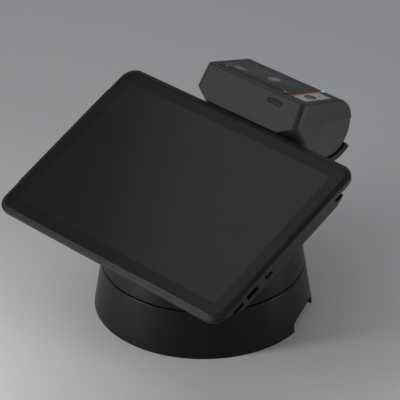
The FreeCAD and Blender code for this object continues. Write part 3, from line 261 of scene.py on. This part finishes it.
# %% Finishes by slot
finishes = {
    "pedestal_black": moulded_plastic("pedestal_satin_black", (0.006, 0.006, 0.006), 0.36, specular=0.22),
    "housing_black": moulded_plastic("housing_matt_black", (0.012, 0.012, 0.012), 0.46, wear_and_highlight=1.0,
                                     specular=0.25),
    # On the head the strong, wide pale edge band is a painted highlight along its rims, on top of some
    # scuffing.
    "head_grey": moulded_plastic("head_charcoal", (0.030, 0.030, 0.030), 0.48, grain=0.5, wear_and_highlight=1.3,
                                 specular=0.3, rim=0.9),
    "steel": machined_metal("bright_steel", (0.56, 0.56, 0.57), 0.32),
    "rubber": moulded_plastic("foot_rubber", (0.02, 0.02, 0.02), 0.8, grain=0.8, wear_and_highlight=0.1, specular=0.2),
    "bearing_plastic": moulded_plastic("bearing_acetal", (0.72, 0.72, 0.69), 0.4, wear_and_highlight=0.1),
    "circuit_board": moulded_plastic("board_green", (0.02, 0.13, 0.06), 0.4, grain=1.2, wear_and_highlight=0.2),
    "socket_plastic": moulded_plastic("socket_black", (0.02, 0.02, 0.02), 0.5, wear_and_highlight=0.2),
    "contact_gold": machined_metal("contact_gold", (0.86, 0.62, 0.26), 0.25),
    "screen_glass": polished("cover_glass_black", (0.004, 0.004, 0.004), 0.22, coat=0.0, specular=0.35),
    "display": polished("display_off", (0.004, 0.004, 0.004), 0.17, coat=0.0, specular=0.5),
    "lens_glass": polished("lens_dark", (0.006, 0.006, 0.010), 0.06, coat=1.0),
    "battery_wrap": polished("battery_film", (0.09, 0.09, 0.10), 0.3),
    "window_gloss": polished("window_gloss", (0.012, 0.012, 0.012), 0.3, coat=0.0, specular=0.25),
    "accent_orange": polished("stripe_orange", (0.74, 0.16, 0.07), 0.35, coat=0.2),
    "bezel_white": moulded_plastic("bezel_pale_grey", (0.52, 0.52, 0.52), 0.42, wear_and_highlight=0.0),
    "light_cyan": polished("status_cyan", (0.02, 0.55, 0.95), 0.2),
    "heater_ceramic": moulded_plastic("heater_ceramic", (0.6, 0.6, 0.55), 0.35, wear_and_highlight=0.1),
    "brass": machined_metal("cut_brass", (0.72, 0.52, 0.22), 0.3),
    "card_core": moulded_plastic("core_card", (0.42, 0.30, 0.18), 0.85, grain=1.5, grain_depth=0.05,
                                 wear_and_highlight=0.1),
    "receipt_paper": moulded_plastic("receipt_paper", (0.82, 0.82, 0.80), 0.75, grain=0.6, wear_and_highlight=0.0),
    "button_dark": moulded_plastic("button_black", (0.018, 0.018, 0.018), 0.5, specular=0.2),
}
# Painted light: the head's lower shell gets a lighter copy of the head's charcoal, so its end face reads
# brighter than the upper shell's, standing in for the extra light that face catches.
lower_shell_painted_lighter = moulded_plastic("head_charcoal_painted_lighter", (0.040, 0.040, 0.040), 0.5, grain=0.5, wear_and_highlight=0.6,
                                specular=0.3)
port_finish = machined_metal("blackened_port", (0.10, 0.10, 0.10), 0.45)
slot_of = {part["node"]: part["material_slot"] for part in frame["record"]["subparts"]}
for name, node in nodes.items():
    node.data.materials.clear()
    node.data.materials.append(finishes[slot_of[name]])
for name, finish in (("head_lower_shell", lower_shell_painted_lighter), ("usb_a_socket", port_finish),
                     ("usb_c_socket", port_finish)):
    nodes[name].data.materials[0] = finish
print("finishes:", len(finishes))

# %% [markdown]
# ## Hand tools for modelling
# The plates, rings and stripe below are shaped the same way. A primitive is added at the origin,
# flat, its faces and edges are picked by their place, and edit-mode operators shape them. The
# scanner lens and its ring, the light sensor, the status light and the tear bar are simpler: they
# are primitives scaled to size, with nothing more cut into them. At the end each piece is turned
# onto its plane and the turn is applied, so its place is in its mesh.

# %% Pick, shape and settle
def start_piece(name, primitive, **values):
    """Add a primitive with nothing else selected, and name it."""
    bpy.ops.object.select_all(action="DESELECT")
    primitive(**values)
    piece = bpy.context.object
    piece.name = name
    bpy.ops.object.transform_apply(location=True, rotation=True, scale=True)
    return piece


def pick(piece, kind, test):
    """Enter edit mode with only the vertices, edges or faces whose middle passes the test selected."""
    bpy.ops.object.mode_set(mode="EDIT")
    bpy.ops.mesh.select_mode(type={"verts": "VERT", "edges": "EDGE", "faces": "FACE"}[kind])
    bpy.ops.mesh.select_all(action="DESELECT")
    mesh = bmesh.from_edit_mesh(piece.data)
    for item in getattr(mesh, kind):
        if kind == "verts":
            middle = item.co
        elif kind == "edges":
            middle = (item.verts[0].co + item.verts[1].co) / 2
        else:
            middle = item.calc_center_median()
        item.select_set(bool(test(middle, item)))
    mesh.select_flush_mode()
    bmesh.update_edit_mesh(piece.data)


def round_off(piece, radius, segments, test):
    """Bevel the edges that pass the test into a round of a radius in millimetres."""
    pick(piece, "edges", test)
    bpy.ops.mesh.bevel(offset=radius * MM, segments=segments, affect="EDGES", profile=0.5)
    bpy.ops.object.mode_set(mode="OBJECT")


def upright(middle, edge):
    """True for an edge that runs along Z."""
    along = edge.verts[1].co - edge.verts[0].co
    return abs(along.z) > 0.99 * along.length


def settle(piece, plane, body, stands_for=None, angle=35):
    """Smooth the piece, set it down on a working plane and tie it to its moving body."""
    place, turn = plane
    bpy.ops.object.select_all(action="DESELECT")
    piece.select_set(True)
    bpy.context.view_layer.objects.active = piece
    bpy.ops.object.shade_smooth_by_angle(angle=math.radians(angle))
    piece.rotation_euler = (turn, 0, 0)
    piece.location = place
    bpy.ops.object.transform_apply(location=True, rotation=True, scale=True)
    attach(piece, body)
    if stands_for:
        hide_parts(stands_for)
    print(piece.name, "has", len(piece.data.polygons), "faces")


def rounded_plate(name, half_w, half_h, top, thick, corner, edge, shift=(0, 0)):
    """A plate with round corners and a softened top edge, in millimetres."""
    plate = start_piece(name, bpy.ops.mesh.primitive_cube_add, size=1,
                        location=(shift[0] * MM, shift[1] * MM, (top - thick / 2) * MM),
                        scale=(2 * half_w * MM, 2 * half_h * MM, thick * MM))
    round_off(plate, corner, 10, upright)
    top_z = top * MM
    round_off(plate, edge, 3, lambda middle, item: abs(item.verts[0].co.z - top_z) < 1e-6
              and abs(item.verts[1].co.z - top_z) < 1e-6 and len(item.link_faces) == 2
              and abs(item.link_faces[0].normal.z - item.link_faces[1].normal.z) > 0.5)
    return plate


# %% [markdown]
# ## Cover glass
# The real cover glass is one sheet, printed black from behind round the lit area. Switched off,
# the lit area still looks a little different, because the display lies deeper and scatters
# light. Cutting a shallow recess over the lit area lets each zone have its own finish.

# %% Cover glass
cover_glass = rounded_plate("cover_glass", 119.0, 78.1, 0.0, 1.1, 8.5, 0.35)
pick(cover_glass, "faces", lambda middle, face: face.normal.z > 0.99 and abs(middle.z) < 1e-6)
bpy.ops.mesh.inset(thickness=1.0 * MM)
bpy.ops.object.mode_set(mode="OBJECT")
LIT_WIDTH, LIT_HEIGHT = 216.96 * MM, 135.6 * MM
lit_area = start_piece("screen_cutter", bpy.ops.mesh.primitive_cube_add, size=1, location=(0, 0, 0),
                       scale=(LIT_WIDTH, LIT_HEIGHT, 0.10 * MM))
recess = cover_glass.modifiers.new("lit_area", "BOOLEAN")
recess.operation, recess.object, recess.solver = "DIFFERENCE", lit_area, "EXACT"
bpy.ops.object.select_all(action="DESELECT")
bpy.context.view_layer.objects.active = cover_glass
bpy.ops.object.modifier_apply(modifier="lit_area")
bpy.data.objects.remove(lit_area)
cover_glass.data.materials.clear()
cover_glass.data.materials.append(finishes["screen_glass"])
cover_glass.data.materials.append(finishes["display"])
for face in cover_glass.data.polygons:
    if face.normal.z > 0.99 and -0.5 * MM < face.center.z < -0.02 * MM:
        face.material_index = 1
settle(cover_glass, GLASS_PLANE, "stand", "front_glass")

# %% [markdown]
# ## Front camera
# A small round window in the black print, with the lens barrel's ring behind it. It is one
# turned piece: a disc stepped down and up again by two insets.

# %% Front camera
camera_ring = start_piece("camera_ring", bpy.ops.mesh.primitive_cylinder_add, vertices=48,
                          radius=2.3 * MM, depth=0.10 * MM, location=(0, 74.6 * MM, -0.03 * MM))
pick(camera_ring, "faces", lambda middle, face: face.normal.z > 0.99)
bpy.ops.mesh.inset(thickness=0.7 * MM)
bpy.ops.transform.translate(value=(0, 0, -0.04 * MM))
bpy.ops.mesh.inset(thickness=0.5 * MM)
bpy.ops.transform.translate(value=(0, 0, 0.05 * MM))
bpy.ops.object.mode_set(mode="OBJECT")
camera_ring.data.materials.append(finishes["button_dark"])
settle(camera_ring, GLASS_PLANE, "stand", None)

# %% [markdown]
# ## Top window of the head
# Customers tap a card here, so the real panel is a gloss moulding with a printed tap sign.
# The plate is modelled with round corners, and the signs are thin raised prints: three rings,
# one inside another, and two short bars, all plain shapes that belong to nobody.

# %% Window plate
window = rounded_plate("tap_window", 38.6, 15.3, 0.02, 0.8, 1.6, 0.15, shift=(-7.9, 24.4))
window.data.materials.append(finishes["window_gloss"])
settle(window, TOP_PANEL, "paper_cover", "top_window")

# %% Printed tap sign
print_ink, tree, shader = new_material("pale_print")
ink_grain = add_node(tree, "ShaderNodeTexNoise", Scale=2200.0, Detail=2.0)
ink_place = add_node(tree, "ShaderNodeTexCoord").outputs["Object"]
tree.links.new(ink_place, ink_grain.inputs["Vector"])
ink_tone = add_node(tree, "ShaderNodeMix", data_type="RGBA")
ink_tone.inputs["A"].default_value = (0.42, 0.42, 0.42, 1)
ink_tone.inputs["B"].default_value = (0.60, 0.60, 0.60, 1)
tree.links.new(ink_grain.outputs["Fac"], ink_tone.inputs["Factor"])
tree.links.new(ink_tone.outputs["Result"], shader.inputs["Base Color"])
shader.inputs["Roughness"].default_value = 0.55


def printed_ring(name, at, outer, inner):
    """A flat ring print that stands a twentieth of a millimetre above the window."""
    ring = start_piece(name, bpy.ops.mesh.primitive_cylinder_add, vertices=64, radius=outer * MM,
                       depth=0.06 * MM, location=(at[0] * MM, at[1] * MM, 0.04 * MM))
    pick(ring, "faces", lambda middle, face: abs(face.normal.z) > 0.99)
    bpy.ops.mesh.inset(thickness=(outer - inner) * MM, use_individual=True)
    bpy.ops.mesh.bridge_edge_loops()
    bpy.ops.object.mode_set(mode="OBJECT")
    ring.data.materials.append(print_ink)
    settle(ring, TOP_PANEL, "paper_cover", None)


for number, (outer, inner) in enumerate(((5.0, 4.3), (3.3, 2.6), (1.5, 0.4))):
    printed_ring("tap_ring_%d" % number, (-3.0, 26.5), outer, inner)
for number, (x, y, half) in enumerate(((-32.0, 19.6, 6.0), (-33.4, 16.6, 4.6))):
    bar = rounded_plate("print_bar_%d" % number, half, 0.55, 0.07, 0.06, 0.5, 0.02, shift=(x, y))
    bar.data.materials.append(print_ink)
    settle(bar, TOP_PANEL, "paper_cover", None)

# %% [markdown]
# ## Scanner bezel, lens and stripe
# The pale corner carries the code scanner. Its plate has four round corners and a round hole with
# a softened rim for the lens. The orange stripe beside it follows the panel over its rear curve.

# %% Scanner bezel
LENS_X, LENS_Y, WELL_R, PLATE_TOP = 39.3, 22.4, 4.7, 0.05
pale_plate = rounded_plate("scanner_plate", 6.6, 15.6, PLATE_TOP, 0.8, 2.6, 0.15, shift=(39.7, 24.4))
well = start_piece("well_cutter", bpy.ops.mesh.primitive_cylinder_add, vertices=64,
                   radius=WELL_R * MM, depth=6 * MM, location=(LENS_X * MM, LENS_Y * MM, 0))
hole = pale_plate.modifiers.new("lens_hole", "BOOLEAN")
hole.operation, hole.object, hole.solver = "DIFFERENCE", well, "EXACT"
bpy.context.view_layer.objects.active = pale_plate
bpy.ops.object.modifier_apply(modifier="lens_hole")
bpy.data.objects.remove(well)
lens_centre = Vector((LENS_X, LENS_Y, 0)) * MM
round_off(pale_plate, 0.25, 3, lambda middle, item: abs(middle.z - PLATE_TOP * MM) < 1e-6
          and abs((Vector((middle.x, middle.y, 0)) - lens_centre).length - WELL_R * MM) < 0.05 * MM)
pale_plate.data.materials.append(finishes["bezel_white"])
settle(pale_plate, TOP_PANEL, "paper_cover", "scanner_bezel")

# %% Scanner lens
lens_dome = start_piece("scanner_lens", bpy.ops.mesh.primitive_uv_sphere_add, segments=48, ring_count=24,
                        radius=4.45 * MM, location=(LENS_X * MM, LENS_Y * MM, -0.35 * MM),
                        scale=(1, 1, 0.09))
lens_dome.data.materials.append(finishes["lens_glass"])
settle(lens_dome, TOP_PANEL, "paper_cover", "scanner_window", angle=60)
lens_ring = start_piece("scanner_ring", bpy.ops.mesh.primitive_torus_add, major_radius=4.35 * MM,
                        minor_radius=0.28 * MM, major_segments=64, minor_segments=12,
                        location=(LENS_X * MM, LENS_Y * MM, -0.02 * MM))
lens_ring.data.materials.append(finishes["socket_plastic"])
settle(lens_ring, TOP_PANEL, "paper_cover", None, angle=80)

# %% Light sensor
sensor = start_piece("sensor_dot", bpy.ops.mesh.primitive_uv_sphere_add, segments=24, ring_count=12,
                     radius=0.95 * MM, location=(LENS_X * MM, 33.0 * MM, 0.03 * MM), scale=(1, 1, 0.15))
sensor.data.materials.append(finishes["lens_glass"])
settle(sensor, TOP_PANEL, "paper_cover", "light_sensor", angle=60)

# %% [markdown]
# The stripe is a ribbon. Its profile is walked in short steps, flat along the panel and then
# round the rear curve, and each step is one extrude of the ribbon's leading edge.

# %% Stripe
PROUD = 0.06
REAR_CENTRE, REAR_R, REAR_START = Vector((93.043, 142.393)), 20.369, 81.73
STRIPE_LEFT, STRIPE_RIGHT = 31.2, 33.1


def stripe_path():
    """Points (Y, Z) in millimetres along the stripe, from its front end to over the rear curve."""
    start = Vector((HEAD_FRONT_Y, HEAD_FRONT_Z))
    along = Vector((math.cos(PANEL_TURN), math.sin(PANEL_TURN)))
    out = Vector((-along.y, along.x))
    points = [start + along * step + out * PROUD for step in (8.9, 20.0, 30.0, 41.0)]
    for step in range(1, 8):
        angle = math.radians(REAR_START - 2.7 * step)
        points.append(REAR_CENTRE + Vector((math.cos(angle), math.sin(angle))) * (REAR_R + PROUD))
    return points


path = stripe_path()
bpy.ops.object.select_all(action="DESELECT")
bpy.ops.mesh.primitive_plane_add(size=1, location=(0, 0, 0))
stripe = bpy.context.object
stripe.name = "orange_stripe"
for vertex in stripe.data.vertices:
    point = path[0] if vertex.co.y < 0 else path[1]
    vertex.co = Vector((STRIPE_LEFT if vertex.co.x < 0 else STRIPE_RIGHT, point.x, point.y)) * MM
for before, after in zip(path[1:-1], path[2:]):
    edge_y = before.x * MM
    pick(stripe, "edges", lambda middle, edge: abs(middle.y - edge_y) < 1e-6
         and abs(edge.verts[0].co.x - edge.verts[1].co.x) > 1e-4)
    step = (after - before) * MM
    bpy.ops.mesh.extrude_region_move(TRANSFORM_OT_translate={"value": (0, step.x, step.y)})
    bpy.ops.object.mode_set(mode="OBJECT")
pick(stripe, "faces", lambda middle, face: True)
bpy.ops.mesh.normals_make_consistent(inside=False)
bpy.ops.object.mode_set(mode="OBJECT")
if stripe.data.polygons[0].normal.z < 0:
    stripe.data.flip_normals()
depth = stripe.modifiers.new("paint_depth", "SOLIDIFY")
depth.thickness, depth.offset = 0.35 * MM, -1
bpy.ops.object.modifier_apply(modifier="paint_depth")
stripe.data.materials.append(finishes["accent_orange"])
settle(stripe, (Vector((0, 0, 0)), 0), "paper_cover", "accent_stripe")

# %% [markdown]
# ## Status light, tear bar and release button
# The status light is a small domed light guide that glows. The tear bar is a slim round rail
# beside the paper slot, with bright round ends. The release button is a long pill with a
# crowned edge, set in a shallow recess of the front face.

# %% Status light
glow = finishes["light_cyan"].node_tree.nodes["Principled BSDF"]
glow.inputs["Emission Color"].default_value = (0.01, 0.62, 1.0, 1)
glow.inputs["Emission Strength"].default_value = 0.9
light_dome = start_piece("status_dome", bpy.ops.mesh.primitive_uv_sphere_add, segments=32, ring_count=16,
                         radius=1.25 * MM, location=(0, 0, 0), scale=(1, 1, 0.45))
light_dome.data.materials.append(finishes["light_cyan"])
STATUS_SEAT = (Vector((31.6, 101.0, 161.15)) * MM, math.radians(-27))
settle(light_dome, STATUS_SEAT, "paper_cover", "status_light", angle=60)

# %% Tear bar rail
RAIL_Y, RAIL_Z = 9.35 * MM, 0.25 * MM
rail = start_piece("tear_rail", bpy.ops.mesh.primitive_cylinder_add, vertices=24, radius=0.62 * MM,
                   depth=61.4 * MM, location=(-7.0 * MM, RAIL_Y, RAIL_Z), rotation=(0, math.pi / 2, 0))
rail.data.materials.append(finishes["window_gloss"])
settle(rail, TOP_PANEL, "paper_cover", None)
for number, x in enumerate((-38.0, 24.0)):
    end = start_piece("rail_end_%d" % number, bpy.ops.mesh.primitive_uv_sphere_add, segments=24,
                      ring_count=12, radius=0.7 * MM, location=(x * MM, RAIL_Y, RAIL_Z), scale=(1.2, 1, 1))
    end.data.materials.append(finishes["steel"])
    settle(end, TOP_PANEL, "paper_cover", None, angle=60)

# %% Release button
button = rounded_plate("release_pill", 7.5, 1.7, 0.25, 2.4, 1.65, 0.35, shift=(25.3, -6.8))
button.data.materials.append(finishes["button_dark"])
settle(button, FRONT_FACE, "release_button", "release_button")
